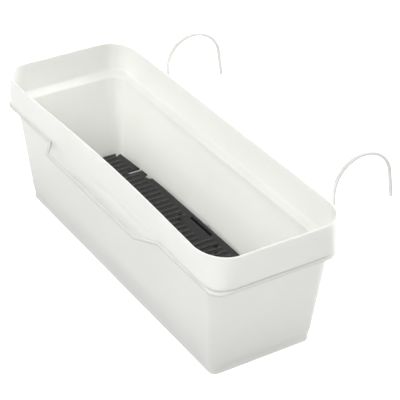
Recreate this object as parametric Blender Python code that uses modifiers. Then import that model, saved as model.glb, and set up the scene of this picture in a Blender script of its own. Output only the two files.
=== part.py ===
"""Self watering balcony planter: moulded box, reservoir plate on legs, wicks, overflow plug and wire hanger.

Frame: origin at the centre of the box's underside, +X along the box, -Y the open side, +Y the railing
side, +Z up. All lengths are metres.
"""
import math

import bmesh
import bpy
from mathutils import Matrix

# Planter box
WALL = 0.0025
FLOOR = 0.003
HEIGHT = 0.172
BASE_HALF = (0.2172, 0.0651)
BASE_R = 0.0090
WAIST_Z = 0.1287
WAIST_HALF = (0.2400, 0.0756)
WAIST_R = 0.0215
FOOT_Z = 0.0085
FOOT_BLEND_Z = 0.0180
COLLAR_Z = 0.1320
COLLAR_HALF = (0.2480, 0.0826)
COLLAR_R = 0.0230
RIM_HALF = (0.2500, 0.0864)
RIM_R = 0.033
RIM_EDGE = 0.0009
RIM_BOW = 0.0052
COLLAR_BOW = 0.0030
BOW_CENTRE_X = 0.020
BOW_REACH = 0.200
BOW_POWER = 1.5
CORNER_DRAW = 4.3
# The step between body and collar: share of the way inward, height
STEP_OUTSIDE = ((1.0, 0.1264), (0.92, 0.1276), (0.84, 0.1288), (0.45, 0.1318), (0.20, 0.1320),
                (0.05, 0.1321), (0.01, 0.1323))
STEP_INSIDE = ((0.0, 0.1364), (0.03, 0.1352), (0.12, 0.1341), (0.42, 0.1313), (0.53, 0.13055),
               (0.66, 0.13015), (0.86, 0.1299), (0.95, 0.12955), (1.0, 0.1287))
CORNER_STEPS = 12
FRONT_STEPS = 24

# Overflow port in the rear wall and its plug
PORT_Z = 0.026
PORT_R = 0.005
BOSS_R = 0.009
BOSS_ROOT_Y = 0.0660
BOSS_FACE_Y = 0.0692
PLUG_GAP = 0.0003
PLUG_HEAD_R = 0.0075
PLUG_HEAD_T = 0.0022
PLUG_TAB = (0.0100, 0.0028, 0.0024)

# Reservoir plate
PLATE_Z = 0.0320
PLATE_T = 0.0026
PLATE_HALF = (0.2055, 0.0600)
PLATE_END_Y = 0.0496
NOTCH_X = 0.2021
NOTCH_FOOT = ((0.1985, 0.0472), (0.1998, 0.0472))
END_CORNER = (0.0007, 0.0012)
TAPER_MARKS = (0.115, 0.178)
PLATE_WAIST_X = 0.100
PLATE_TAPER = 0.006
RIB_H = 0.0012
RIB_W = 0.0050
RIB_PITCH = 0.0103
RIB_MARGIN = 0.008
RIBS_EACH_SIDE = 19
RIB_SHORT_X = 0.0265
RIB_SHORT_Y = 0.0385
WICK_Y = 0.0537
WICK_SLOT = (0.0480, 0.0040)
DRAIN_SLOT_X = (0.1510, 0.1570)
DRAIN_SLOT_Y = 0.0390
FINGER_X = 0.133
FINGER_R = 0.006
FINGER_DEPTH = 0.005
HOLE = (0.0036, 0.0050)
HOLES_REAR = ((-0.1475, 0.0345), (-0.0348, 0.0450), (-0.0259, 0.0384),
              (0.0468, 0.0452), (0.0590, 0.0381), (0.1475, 0.0345))
SOCKET_R = (0.0046, 0.0066)
SOCKET_DROP = 0.0070

# Legs under the plate
LEG_X = (-0.120, 0.0, 0.120)
LEG_Y = (-0.034, 0.034)
LEG_SPIGOT_R = 0.0043
LEG_TOP_R = 0.0070
LEG_FOOT_R = 0.0085
LEG_WALL = 0.0018
LEG_GAP = 0.0003

# Felt wicks
WICK = (0.0460, 0.0032)
WICK_TOP_Z = 0.0343
WICK_FOOT_Z = 0.0036

# Wire hanger
WIRE_R = 0.00235
RING_HALF = (0.2468, 0.0810)
RING_Z = 0.1290
# Corner radii: rear right, rear left, front left, front right
RING_R = (0.0245, 0.0245, 0.0180, 0.0140)
BAY_CENTRE_X = 0.002
BAY_FOOT_X = 0.128
BAY_TOP_X = 0.1035
BAY_Y = 0.0969
BAY_BEND_R = 0.007
HOOK_X = 0.180
HOOK_WELD_Y = RING_HALF[1] + 2 * WIRE_R + 0.0003
HOOK_WELD_LENGTH = 0.040
HOOK_LEG_Y = 0.1135
HOOK_CENTRE = (0.1517, 0.1545)
HOOK_R = 0.0382
HOOK_TIP = (0.1942, 0.1255)
HOOK_BEND_R = 0.010
HOOK_LIFT_LEFT = -0.0027
HOOK_LIFT_RIGHT = 0.0023
CROWN_STEPS = 24
WIRE_SIDES = 4

ROUND = 32

for old in list(bpy.data.objects):
    bpy.data.objects.remove(old, do_unlink=True)

PART = bpy.data.collections.new("self_watering_planter")
CUTTERS = bpy.data.collections.new("cutters")
for group in (PART, CUTTERS):
    bpy.context.scene.collection.children.link(group)


def material(name, colour, roughness, metallic=0.0):
    made = bpy.data.materials.new(name)
    made.use_nodes = True
    shader = made.node_tree.nodes["Principled BSDF"]
    shader.inputs["Base Color"].default_value = (*colour, 1.0)
    shader.inputs["Roughness"].default_value = roughness
    shader.inputs["Metallic"].default_value = metallic
    return made


BOX_PLASTIC = material("box_plastic", (0.82, 0.83, 0.79), 0.5)
PLATE_PLASTIC = material("plate_plastic", (0.047, 0.048, 0.051), 0.6)
LEG_PLASTIC = material("leg_plastic", (0.050, 0.051, 0.054), 0.6)
FELT = material("wick_felt", (0.012, 0.012, 0.013), 0.95)
RUBBER = material("plug_rubber", (0.60, 0.61, 0.59), 0.7)
COATED_WIRE = material("coated_wire", (0.83, 0.83, 0.81), 0.35)


def add(name, mesh, skin, group=PART):
    """Put a mesh in the scene under its node name."""
    mesh.name = name
    obj = bpy.data.objects.new(name, mesh)
    group.objects.link(obj)
    if skin is not None:
        obj.data.materials.clear()
        obj.data.materials.append(skin)
    if group is CUTTERS:
        obj.hide_render = True
        obj.display_type = "WIRE"
    return obj


def finish(obj, angle=35.0):
    """Smooth the rounded faces and keep the real edges sharp."""
    obj.data.shade_smooth()
    obj.data.set_sharp_from_angle(angle=math.radians(angle))
    return obj


def evaluated(obj):
    """The object's mesh with its modifiers or curve settings applied, in world coordinates, welded."""
    bpy.context.view_layer.update()
    depsgraph = bpy.context.evaluated_depsgraph_get()
    mesh = bpy.data.meshes.new_from_object(obj.evaluated_get(depsgraph))
    mesh.transform(obj.matrix_world)
    welder = bmesh.new()
    welder.from_mesh(mesh)
    bmesh.ops.remove_doubles(welder, verts=welder.verts, dist=0.00001)
    bmesh.ops.recalc_face_normals(welder, faces=welder.faces)
    welder.to_mesh(mesh)
    welder.free()
    return mesh


def box(name, centre, size, group=CUTTERS):
    shape = bmesh.new()
    bmesh.ops.create_cube(shape, size=1.0)
    bmesh.ops.scale(shape, vec=size, verts=shape.verts)
    bmesh.ops.translate(shape, vec=centre, verts=shape.verts)
    mesh = bpy.data.meshes.new(name)
    shape.to_mesh(mesh)
    shape.free()
    return add(name, mesh, None, group)


def cylinder_y(name, centre, radius, length, group=CUTTERS):
    """Round bar along Y."""
    shape = bmesh.new()
    bmesh.ops.create_cone(shape, cap_ends=True, segments=ROUND, radius1=radius, radius2=radius, depth=length)
    bmesh.ops.rotate(shape, cent=(0, 0, 0), matrix=Matrix.Rotation(math.radians(90), 3, "X"), verts=shape.verts)
    bmesh.ops.translate(shape, vec=centre, verts=shape.verts)
    mesh = bpy.data.meshes.new(name)
    shape.to_mesh(mesh)
    shape.free()
    return add(name, mesh, None, group)


def merged(name, pieces, group=CUTTERS):
    """Several pieces that don't touch, as one object."""
    shape = bmesh.new()
    for piece in pieces:
        shape.from_mesh(piece.data)
        bpy.data.objects.remove(piece, do_unlink=True)
    mesh = bpy.data.meshes.new(name)
    shape.to_mesh(mesh)
    shape.free()
    return add(name, mesh, None, group)


def combine(obj, other, operation):
    """Boolean one object with another and drop the second."""
    step = obj.modifiers.new(operation.lower(), "BOOLEAN")
    step.operation = operation
    step.solver = "EXACT"
    step.object = other
    mesh = evaluated(obj)
    obj.modifiers.remove(step)
    skins = list(obj.data.materials)
    obj.data = mesh
    mesh.materials.clear()
    for skin in skins:
        mesh.materials.append(skin)
    bpy.data.objects.remove(other, do_unlink=True)
    return obj


def turned(name, profile, skin, centre=(0, 0, 0), tilt=None):
    """Solid of revolution from a profile that runs down the +X side from axis to axis."""
    mesh = bpy.data.meshes.new(name)
    points = [(r, 0.0, z) for r, z in profile]
    mesh.from_pydata(points, [(i, i + 1) for i in range(len(points) - 1)], [])
    obj = add(name, mesh, None, CUTTERS)
    screw = obj.modifiers.new("turn", "SCREW")
    screw.axis = "Z"
    screw.steps = screw.render_steps = ROUND
    screw.use_merge_vertices = True
    screw.merge_threshold = 0.00001
    if tilt is not None:
        obj.matrix_world = tilt
    solid = add(name, evaluated(obj), skin)
    bpy.data.objects.remove(obj, do_unlink=True)
    solid.data.transform(Matrix.Translation(centre))
    solid.name = name
    return finish(solid)


def fillet(before, corner, after, radius, steps):
    """Points of an arc that rounds the corner of a wire path."""
    to_before = [b - c for b, c in zip(before, corner)]
    to_after = [a - c for a, c in zip(after, corner)]
    len_before = math.hypot(*to_before)
    len_after = math.hypot(*to_after)
    u = [v / len_before for v in to_before]
    w = [v / len_after for v in to_after]
    opening = math.acos(max(-1.0, min(1.0, sum(a * b for a, b in zip(u, w)))))
    reach = radius / math.tan(opening / 2)
    half = [(a + b) / 2 for a, b in zip(u, w)]
    len_half = math.hypot(*half)
    centre = [c + h / len_half * radius / math.sin(opening / 2) for c, h in zip(corner, half)]
    start = [c + a * reach - m for c, a, m in zip(corner, u, centre)]
    end = [c + a * reach - m for c, a, m in zip(corner, w, centre)]
    sweep = math.pi - opening
    points = []
    for i in range(steps + 1):
        t = i / steps
        a = math.sin((1 - t) * sweep) / math.sin(sweep)
        b = math.sin(t * sweep) / math.sin(sweep)
        points.append(tuple(m + a * s + b * e for m, s, e in zip(centre, start, end)))
    return points


def wire(name, points, closed=False, radii=None):
    """Steel wire along a path."""
    curve = bpy.data.curves.new(name, "CURVE")
    curve.dimensions = "3D"
    curve.bevel_depth = WIRE_R
    curve.bevel_resolution = WIRE_SIDES
    curve.use_fill_caps = not closed
    spline = curve.splines.new("POLY")
    spline.points.add(len(points) - 1)
    for i, point in enumerate(points):
        spline.points[i].co = (*point, 1.0)
        spline.points[i].radius = radii[i] if radii else 1.0
    spline.use_cyclic_u = closed
    guide = bpy.data.objects.new(name, curve)
    CUTTERS.objects.link(guide)
    mesh = evaluated(guide)
    bpy.data.objects.remove(guide, do_unlink=True)
    return finish(add(name, mesh, COATED_WIRE), 50.0)


def outline(half, radius, z, bow=0.0):
    """Rounded rectangle at one height, counter-clockwise from above.

    The bow pulls the front side inward and draws the corners out along the box.
    """
    points = []
    draw = CORNER_DRAW * max(0.0, bow - COLLAR_BOW)
    span = half[0] - radius - draw
    for quarter, (sx, sy) in enumerate(((1, 1), (-1, 1), (-1, -1), (1, -1))):
        cx = sx * span
        cy = sy * (half[1] - radius)
        for i in range(CORNER_STEPS + 1):
            angle = math.radians(90 * (quarter + i / CORNER_STEPS))
            points.append((cx + (radius + draw) * math.cos(angle), cy + radius * math.sin(angle), z))
        if quarter == 2:
            for i in range(1, FRONT_STEPS):
                x = span * (2 * i / FRONT_STEPS - 1)
                away = min(1.0, abs(x - BOW_CENTRE_X) / BOW_REACH)
                points.append((x, -half[1] + bow * (1 - away ** 2) ** BOW_POWER, z))
    return points


def between(low, high, t):
    return tuple(a + (b - a) * t for a, b in zip(low, high))


def body_section(z, inset=0.0):
    """Half sizes and corner radius of the tapered body at a height."""
    t = z / WAIST_Z
    if z < FOOT_BLEND_Z:
        t = max(0.0, z - FOOT_Z) / (FOOT_BLEND_Z - FOOT_Z) * FOOT_BLEND_Z / WAIST_Z
    half = between(BASE_HALF, WAIST_HALF, t)
    radius = BASE_R + (WAIST_R - BASE_R) * t
    return (half[0] - inset, half[1] - inset), radius - inset


def collar_section(z, inset=0.0):
    """Half sizes, corner radius and front bow of the collar at a height."""
    t = (z - COLLAR_Z) / (HEIGHT - COLLAR_Z)
    half = between(COLLAR_HALF, RIM_HALF, t)
    radius = COLLAR_R + (RIM_R - COLLAR_R) * t
    bow = COLLAR_BOW + (RIM_BOW - COLLAR_BOW) * t
    return (half[0] - inset, half[1] - inset), radius - inset, bow


def planter_box():
    """Tapered box with a stepped-out collar, lofted from the underside over the rim to the inner floor."""
    rings = []

    def body(z, inset=0.0):
        half, radius = body_section(z, inset)
        rings.append(outline(half, radius, z))

    def collar(z, inset=0.0):
        half, radius, bow = collar_section(z, inset)
        rings.append(outline(half, radius, z, bow))

    def step(profile, inset):
        outer, outer_r, bow = collar_section(COLLAR_Z, inset)
        inner, inner_r = body_section(WAIST_Z, inset)
        for t, z in profile:
            radius = outer_r + (inner_r - outer_r) * t
            rings.append(outline(between(outer, inner, t), radius, z, bow * (1 - t)))

    body(0.0, 0.0022)
    body(0.0005, 0.0010)
    body(0.0014, 0.0003)
    body(0.0028)
    body(FOOT_Z)
    body((FOOT_Z + FOOT_BLEND_Z) / 2)
    body(FOOT_BLEND_Z)
    body(0.070)
    step(STEP_OUTSIDE, 0.0)
    collar(COLLAR_Z + 0.0010)
    collar(HEIGHT - RIM_EDGE)
    collar(HEIGHT - 0.35 * RIM_EDGE, 0.2 * RIM_EDGE)
    collar(HEIGHT, RIM_EDGE)
    collar(HEIGHT, WALL - RIM_EDGE)
    collar(HEIGHT - 0.35 * RIM_EDGE, WALL - 0.2 * RIM_EDGE)
    collar(HEIGHT - RIM_EDGE, WALL)
    step(STEP_INSIDE, WALL)
    body(0.070, WALL)
    body(FOOT_BLEND_Z, WALL)
    body(FLOOR + 0.0030, WALL)
    body(FLOOR + 0.0009, WALL + 0.0009)
    body(FLOOR, WALL + 0.0030)

    count = len(rings[0])
    vertices = [point for ring in rings for point in ring]
    faces = [tuple(range(count - 1, -1, -1))]
    for level in range(len(rings) - 1):
        low = level * count
        high = low + count
        for i in range(count):
            j = (i + 1) % count
            faces.append((low + i, low + j, high + j, high + i))
    faces.append(tuple(range((len(rings) - 1) * count, len(rings) * count)))
    mesh = bpy.data.meshes.new("planter_box")
    mesh.from_pydata(vertices, [], faces)
    shell = add("planter_box", mesh, BOX_PLASTIC)

    boss_middle = (BOSS_ROOT_Y + BOSS_FACE_Y) / 2
    boss = cylinder_y("boss", (0, boss_middle, PORT_Z), BOSS_R, BOSS_FACE_Y - BOSS_ROOT_Y)
    combine(shell, boss, "UNION")
    port = cylinder_y("port", (0, boss_middle, PORT_Z), PORT_R, 0.020)
    combine(shell, port, "DIFFERENCE")
    return finish(shell, 28.0)


def overflow_plug():
    """Push-in plug with a finger tab, on an axis along +Y through the rear wall."""
    head = PLUG_HEAD_T
    profile = [(0.0, head), (PLUG_HEAD_R - 0.0006, head), (PLUG_HEAD_R, head - 0.0006), (PLUG_HEAD_R, 0.0),
               (PORT_R - PLUG_GAP, 0.0), (PORT_R - PLUG_GAP, -0.0060), (PORT_R - 0.0016, -0.0075),
               (0.0, -0.0075)]
    tilt = Matrix.Rotation(math.radians(-90), 4, "X")
    face = BOSS_FACE_Y + PLUG_GAP
    plug = turned("overflow_plug", profile, RUBBER, (0, face, PORT_Z), tilt)
    tab = box("tab", (0, face + head + PLUG_TAB[1] / 2 - 0.0003, PORT_Z), (PLUG_TAB[0], PLUG_TAB[1], PLUG_TAB[2]))
    combine(plug, tab, "UNION")
    plug.data.transform(Matrix.Translation((0, -face, -PORT_Z)))
    plug.location = (0, face, PORT_Z)
    return finish(plug)


def plate_edge(x):
    """Distance of the plate's long edge from its centre line."""
    if x <= PLATE_WAIST_X:
        return PLATE_HALF[1]
    t = (x - PLATE_WAIST_X) / (PLATE_HALF[0] - PLATE_WAIST_X)
    return PLATE_HALF[1] - PLATE_TAPER * t ** 1.4


def plate_quarter():
    """Edge points of the +X +Y quarter, from where the long side starts to taper to the short end."""
    points = [(x, plate_edge(x)) for x in (PLATE_WAIST_X, TAPER_MARKS[0])]
    for i in range(11):
        angle = math.pi * i / 10
        x = FINGER_X - FINGER_R * math.cos(angle)
        points.append((x, plate_edge(x) - FINGER_DEPTH * math.sin(angle)))
    points += [(DRAIN_SLOT_X[0], plate_edge(DRAIN_SLOT_X[0])), (DRAIN_SLOT_X[0], DRAIN_SLOT_Y + 0.0010),
               (DRAIN_SLOT_X[0] + 0.0010, DRAIN_SLOT_Y), (DRAIN_SLOT_X[1] - 0.0010, DRAIN_SLOT_Y),
               (DRAIN_SLOT_X[1], DRAIN_SLOT_Y + 0.0010), (DRAIN_SLOT_X[1], plate_edge(DRAIN_SLOT_X[1])),
               (TAPER_MARKS[1], plate_edge(TAPER_MARKS[1])), (NOTCH_X, plate_edge(NOTCH_X)),
               NOTCH_FOOT[0], NOTCH_FOOT[1], (PLATE_HALF[0] - END_CORNER[0], PLATE_END_Y),
               (PLATE_HALF[0], PLATE_END_Y - END_CORNER[1])]
    return points


def reservoir_plate():
    """Ribbed plate with drain slots, wick slots and leg sockets."""
    quarter = plate_quarter()
    half = quarter + [(x, -y) for x, y in reversed(quarter)]
    edge = half + [(-x, y) for x, y in reversed(half)]
    curve = bpy.data.curves.new("plate_edge", "CURVE")
    curve.dimensions = "2D"
    curve.fill_mode = "BOTH"
    curve.extrude = PLATE_T / 2
    spline = curve.splines.new("POLY")
    spline.points.add(len(edge) - 1)
    for i, (x, y) in enumerate(edge):
        spline.points[i].co = (x, y, 0.0, 1.0)
    spline.use_cyclic_u = True
    guide = bpy.data.objects.new("plate_edge", curve)
    CUTTERS.objects.link(guide)
    guide.location = (0, 0, PLATE_Z + PLATE_T / 2)
    plate = add("reservoir_plate", evaluated(guide), PLATE_PLASTIC)
    bpy.data.objects.remove(guide, do_unlink=True)

    top = PLATE_Z + PLATE_T
    ribs = []
    for i in range(-RIBS_EACH_SIDE, RIBS_EACH_SIDE + 1):
        x = i * RIB_PITCH
        if abs(x) < RIB_SHORT_X:
            reach = RIB_SHORT_Y
        elif DRAIN_SLOT_X[0] < abs(x) + RIB_W / 2 and abs(x) - RIB_W / 2 < DRAIN_SLOT_X[1]:
            reach = DRAIN_SLOT_Y - 0.003
        else:
            reach = plate_edge(abs(x)) - RIB_MARGIN
        ribs.append(box("rib", (x, 0, top + RIB_H / 2 - 0.0003), (RIB_W, 2 * reach, RIB_H + 0.0006)))
    combine(plate, merged("ribs", ribs), "UNION")

    sockets = []
    for x in LEG_X:
        for y in LEG_Y:
            sockets.append(socket(x, y))
    combine(plate, merged("sockets", sockets), "UNION")

    cuts = [box("slot", (0, side * WICK_Y, top), (WICK_SLOT[0], WICK_SLOT[1], 0.020)) for side in (-1, 1)]
    for turn in (-1, 1):
        for x, y in HOLES_REAR:
            cuts.append(box("hole", (turn * x, turn * y, top), (HOLE[0], HOLE[1], 0.020)))
    combine(plate, merged("cuts", cuts), "DIFFERENCE")
    return finish(plate, 25.0)


def socket(x, y):
    """Tube under the plate that takes a leg's spigot."""
    inner, outer = SOCKET_R
    top = PLATE_Z + 0.0010
    foot = PLATE_Z - SOCKET_DROP
    return turned("socket", [(0.0, top), (outer, top), (outer, foot), (inner, foot),
                             (inner, PLATE_Z - 0.0002), (0.0, PLATE_Z - 0.0002)], None, (x, y, 0))


def plate_leg(number, x, y):
    """Hollow post that carries the plate over the reservoir."""
    shoulder = PLATE_Z - SOCKET_DROP - LEG_GAP
    spigot = PLATE_Z - 0.0002 - LEG_GAP
    foot = FLOOR + LEG_GAP
    roof = shoulder - LEG_WALL
    profile = [(0.0, spigot), (LEG_SPIGOT_R - 0.0006, spigot), (LEG_SPIGOT_R, spigot - 0.0006),
               (LEG_SPIGOT_R, shoulder), (LEG_TOP_R, shoulder), (LEG_FOOT_R, foot),
               (LEG_FOOT_R - LEG_WALL, foot), (LEG_TOP_R - LEG_WALL, roof), (0.0, roof)]
    return turned(f"plate_leg_{number}", profile, LEG_PLASTIC, (x, y, 0))


def wick(name, side):
    """Felt strip that hangs from the plate's long slot into the reservoir."""
    height = WICK_TOP_Z - WICK_FOOT_Z
    middle = (0, side * WICK_Y, (WICK_TOP_Z + WICK_FOOT_Z) / 2)
    strip = box(name, middle, (WICK[0], WICK[1], height), PART)
    strip.data.materials.append(FELT)
    return strip


def hanger_ring():
    """Closed wire ring under the collar, with a bay that stands out at the front."""
    x, y = RING_HALF
    bay = [((BAY_CENTRE_X + side, -depth), BAY_BEND_R) for side, depth in
           ((-BAY_FOOT_X, y), (-BAY_TOP_X, BAY_Y), (BAY_TOP_X, BAY_Y), (BAY_FOOT_X, y))]
    bends = list(zip(((x, y), (-x, y), (-x, -y), (x, -y)), RING_R))
    corners = bends[:3] + bay + bends[3:]
    path = []
    for i, (corner, radius) in enumerate(corners):
        before = corners[i - 1][0]
        after = corners[(i + 1) % len(corners)][0]
        steps = 4 if radius == BAY_BEND_R else 12
        path += fillet((*before, RING_Z), (*corner, RING_Z), (*after, RING_Z), radius, steps)
    return wire("hanger_ring", path, closed=True)


def hook(name, side, lift):
    """Railing hook: a foot along the ring's rear rail, a leg, a round crown and a splayed tip."""
    x = side * HOOK_X
    cy, cz = HOOK_CENTRE[0], HOOK_CENTRE[1] + lift
    tip_y, tip_z = HOOK_TIP[0], HOOK_TIP[1] + lift
    start = (x - side * HOOK_WELD_LENGTH, HOOK_WELD_Y, RING_Z)
    turn = (x, HOOK_WELD_Y, RING_Z)
    rise = (x, HOOK_LEG_Y, RING_Z)
    crown = (x, cy - HOOK_R, cz)
    path = [start]
    path += fillet(start, turn, rise, HOOK_BEND_R, 7)
    path += fillet(turn, rise, crown, HOOK_BEND_R, 7)
    # the crown is left where the tip is straight ahead
    reach = math.hypot(tip_y - cy, tip_z - cz)
    leave = math.atan2(tip_z - cz, tip_y - cy) + math.acos(HOOK_R / reach)
    for i in range(CROWN_STEPS + 1):
        angle = math.pi + (leave - math.pi) * i / CROWN_STEPS
        path.append((x, cy + HOOK_R * math.cos(angle), cz + HOOK_R * math.sin(angle)))
    radii = [1.0] * len(path)
    last = path[-1]
    tip = (x, tip_y, tip_z)
    length = math.dist(last, tip)
    for back, radius in ((0.0016, 1.0), (0.0008, 0.92), (0.0003, 0.76), (0.0, 0.5)):
        path.append(between(last, tip, 1 - back / length))
        radii.append(radius)
    return wire(name, path, radii=radii)


planter_box()
overflow_plug()
reservoir_plate()
for number, (leg_x, leg_y) in enumerate(((x, y) for y in LEG_Y for x in LEG_X), start=1):
    plate_leg(number, leg_x, leg_y)
wick("wick_front", -1)
wick("wick_rear", 1)
hanger_ring()
hook("hook_left", -1, HOOK_LIFT_LEFT)
hook("hook_right", 1, HOOK_LIFT_RIGHT)
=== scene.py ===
"""Self watering balcony planter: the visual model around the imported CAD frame.

Frame: origin at the centre of the box's underside, +X along the box, -Y the open side, +Y the railing
side, +Z up. All lengths are metres.
"""

import math

import bmesh
import bpy
from mathutils import Matrix, Vector, noise


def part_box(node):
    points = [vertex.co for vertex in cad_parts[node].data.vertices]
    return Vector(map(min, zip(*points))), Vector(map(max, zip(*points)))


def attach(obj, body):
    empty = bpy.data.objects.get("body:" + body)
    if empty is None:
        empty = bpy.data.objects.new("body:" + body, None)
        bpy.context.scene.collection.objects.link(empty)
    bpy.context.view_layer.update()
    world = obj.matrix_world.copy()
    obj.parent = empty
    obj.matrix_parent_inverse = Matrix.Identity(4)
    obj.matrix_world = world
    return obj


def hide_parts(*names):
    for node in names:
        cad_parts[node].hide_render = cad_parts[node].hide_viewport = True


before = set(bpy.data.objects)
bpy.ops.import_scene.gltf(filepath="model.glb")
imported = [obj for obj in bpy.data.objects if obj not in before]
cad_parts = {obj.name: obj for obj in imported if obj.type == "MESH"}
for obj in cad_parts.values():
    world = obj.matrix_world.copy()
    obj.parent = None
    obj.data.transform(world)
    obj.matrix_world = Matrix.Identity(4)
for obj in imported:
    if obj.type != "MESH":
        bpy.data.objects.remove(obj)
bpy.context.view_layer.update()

# ---------------------------------------------------------------- dimensions
BOX_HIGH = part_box("planter_box")[1]
HEIGHT = BOX_HIGH.z
RIM_HALF = (BOX_HIGH.x, BOX_HIGH.y)
WALL = 0.0025
FLOOR = 0.003
BASE_HALF = (0.2172, 0.0651)
BASE_R = 0.0090
BASE_EDGE = 0.0022
WAIST_Z = 0.1287
WAIST_HALF = (0.2400, 0.0756)
WAIST_R = 0.0215
FOOT_Z = 0.0085
FOOT_BLEND_Z = 0.0180
COLLAR_Z = 0.1320
COLLAR_HALF = (0.2480, 0.0826)
COLLAR_R = 0.0230
RIM_R = 0.033
RIM_EDGE = 0.0009
RIM_BOW = 0.0052
COLLAR_BOW = 0.0030
BOW_CENTRE_X = 0.020
BOW_REACH = 0.200
BOW_POWER = 1.5
CORNER_DRAW = 4.3
MIN_CORNER_R = 0.001
# The step between body and collar: share of the way inward, height
STEP_OUTSIDE = ((1.0, 0.1264), (0.92, 0.1276), (0.84, 0.1288), (0.45, 0.1318), (0.20, 0.1320),
                (0.05, 0.1321), (0.01, 0.1323))
STEP_INSIDE = ((0.0, 0.1364), (0.04, 0.1352), (0.14, 0.1341), (0.32, 0.1328), (0.56, 0.1313),
               (0.78, 0.1300), (0.92, 0.1290), (1.0, 0.1278))
CORNER_STEPS = 26
FRONT_STEPS = 60
STAND_INSET = 0.0085
STAND_RAMP = 0.0012
STAND_RECESS = 0.0007
# How far each kind of corner in the wall's section is rounded
STAND_SOFT = 0.0003
FOOT_SOFT = 0.0016
BLEND_SOFT = 0.0024
STEP_SOFT = (0.0005, 0.0006)
COLLAR_SOFT = 0.0004
COLLAR_FOOT = 0.0010
FLOOR_SOFT = 0.0040
FLOOR_FLAT_INSET = 0.0120
# Ejector marks and gate mark in the stand panel
MARK_X = (-0.165, -0.055, 0.055, 0.165)
MARK_Y = (-0.036, 0.036)
MARK_R = 0.0040
MARK_DEPTH = 0.00025
MARK_CUT = 0.001
GATE_R = (0.0026, 0.0018)
GATE_Z = (0.0004, -0.0005)
GATE_SOFT = 0.0003

PORT_Z = 0.026
PORT_R = 0.005
BOSS_R = 0.009
BOSS_ROOT_Y = 0.0660
BOSS_FACE_Y = 0.0692
BOSS_SOFT = 0.0006
PORT_CHAMFER = 0.0005
# Where the chamfer starts and ends, from the boss's face
PORT_CHAMFER_Z = (-0.0004, 0.0001)
PLUG_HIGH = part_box("overflow_plug")[1]
PLUG_GAP = 0.0003
PLUG_HEAD_R = 0.0075
PLUG_HEAD_T = 0.0022
PLUG_DOME = (0.0012, 0.0008)
# The plug's stem under its head: how much slimmer, height
PLUG_STEM = ((0.0, -0.0035), (0.0004, -0.0039), (0.0004, -0.0048), (0.0, -0.0052),
             (0.0, -0.0060), (0.0013, -0.0075))
PLUG_SOFT = (0, 0.0004, 0.0004, 0.0003, 0.0001, 0.0002, 0.0002, 0.0002, 0.0002, 0.0003, 0.0004, 0)
PLUG_TAB = (0.0100, 0.0024)
PLUG_TAB_ROOT = 0.0003
PLUG_TAB_SOFT = 0.0005
GRIPS = 5
GRIP_PITCH = 0.0018
GRIP_START = 0.0006
GRIP = (0.0006, 0.0004, 0.0001)

PLATE_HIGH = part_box("reservoir_plate")[1]
PLATE_Z = 0.0320
PLATE_T = 0.0026
PLATE_HALF = (0.2055, 0.0600)
PLATE_END_Y = 0.0496
NOTCH_X = 0.2021
NOTCH_FOOT = ((0.1985, 0.0472), (0.1998, 0.0472))
END_SOFT = (0, 0.0010, 0.0004, 0.0006, 0.0009, 0)
TAPER_MARKS = (0.108, 0.115, 0.1225, 0.167, 0.178, 0.189)
PLATE_WAIST_X = 0.100
PLATE_TAPER = 0.006
PLATE_TAPER_POWER = 1.4
PLATE_EDGE_R = 0.0004
PLATE_EDGE_STEPS = 5
# How far a corner may be drawn out as an outline is moved inward
MIN_SHARE = 0.3
RIB_H = PLATE_HIGH.z - PLATE_Z - PLATE_T
RIB_W = 0.0050
RIB_PITCH = 0.0103
RIB_MARGIN = 0.008
RIBS_EACH_SIDE = 19
RIB_SHORT_X = 0.0265
RIB_SHORT_Y = 0.0385
RIB_SLOT_MARGIN = 0.003
RIB_ROOT = 0.0004
# How a rib runs out: share of its reach, share of its size
RIB_END = ((-1.0, 0.05), (-0.995, 0.45), (-0.985, 0.75), (-0.97, 0.95), (-0.95, 1.0))
RIB_STEPS = 12
WICK_Y = 0.0537
WICK_SLOT = (0.0480, 0.0040)
WICK_SLOT_R = 0.0008
DRAIN_SLOT_X = (0.1510, 0.1570)
DRAIN_SLOT_Y = 0.0390
FINGER_X = 0.133
FINGER_R = 0.006
FINGER_DEPTH = 0.005
FINGER_STEPS = 24
SLOT_END_STEPS = 16
HOLE = (0.0036, 0.0050)
HOLE_R = 0.0010
HOLES_REAR = ((-0.1475, 0.0345), (-0.0348, 0.0450), (-0.0259, 0.0384),
              (0.0468, 0.0452), (0.0590, 0.0381), (0.1475, 0.0345))
SOCKET_R = (0.0046, 0.0066)
SOCKET_DROP = 0.0070
SOCKET_ROOT = 0.0010
SOCKET_ROOF = 0.0002
SOCKET_SOFT = (0, 0, 0.0004, 0.0004, 0.0003, 0)
CUT_DEPTH = 0.020

LEG_X = (-0.120, 0.0, 0.120)
LEG_Y = (-0.034, 0.034)
LEG_SPIGOT_R = 0.0043
LEG_TOP_R = 0.0070
LEG_FOOT_R = 0.0085
LEG_WALL = 0.0018
LEG_GAP = 0.0003
LEG_MARKS = (0.0, 0.08, 0.16, 0.35, 0.55, 0.75, 0.90, 1.0)
LEG_SOFT = (0, 0.0006, 0.0003, 0.0004) + (0,) * 6 + (0.0004, 0.0003, 0.0008, 0)
FLUTES = 8
FLUTE_DEPTH = 0.055
FLUTE_END = 0.0006
FLUTE_RISE = (0.004, 0.003)
LEG_NOTCH = (0.0030, 0.024, 0.0050)
LEG_NOTCH_SOFT = 0.0006

FELT_CELLS = (92, 58)
FELT_LOOSE = 0.00022
FELT_WAVES = (900.0, 260.0)
FELT_FINE = 0.7
FELT_WOBBLE = 0.55
FELT_EDGE = 0.04

WIRE_R = 0.00235
RING_LOW, RING_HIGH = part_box("hanger_ring")
RING_HALF = (RING_HIGH.x - WIRE_R, RING_HIGH.y - WIRE_R)
RING_Z = (RING_LOW.z + RING_HIGH.z) / 2
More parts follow.
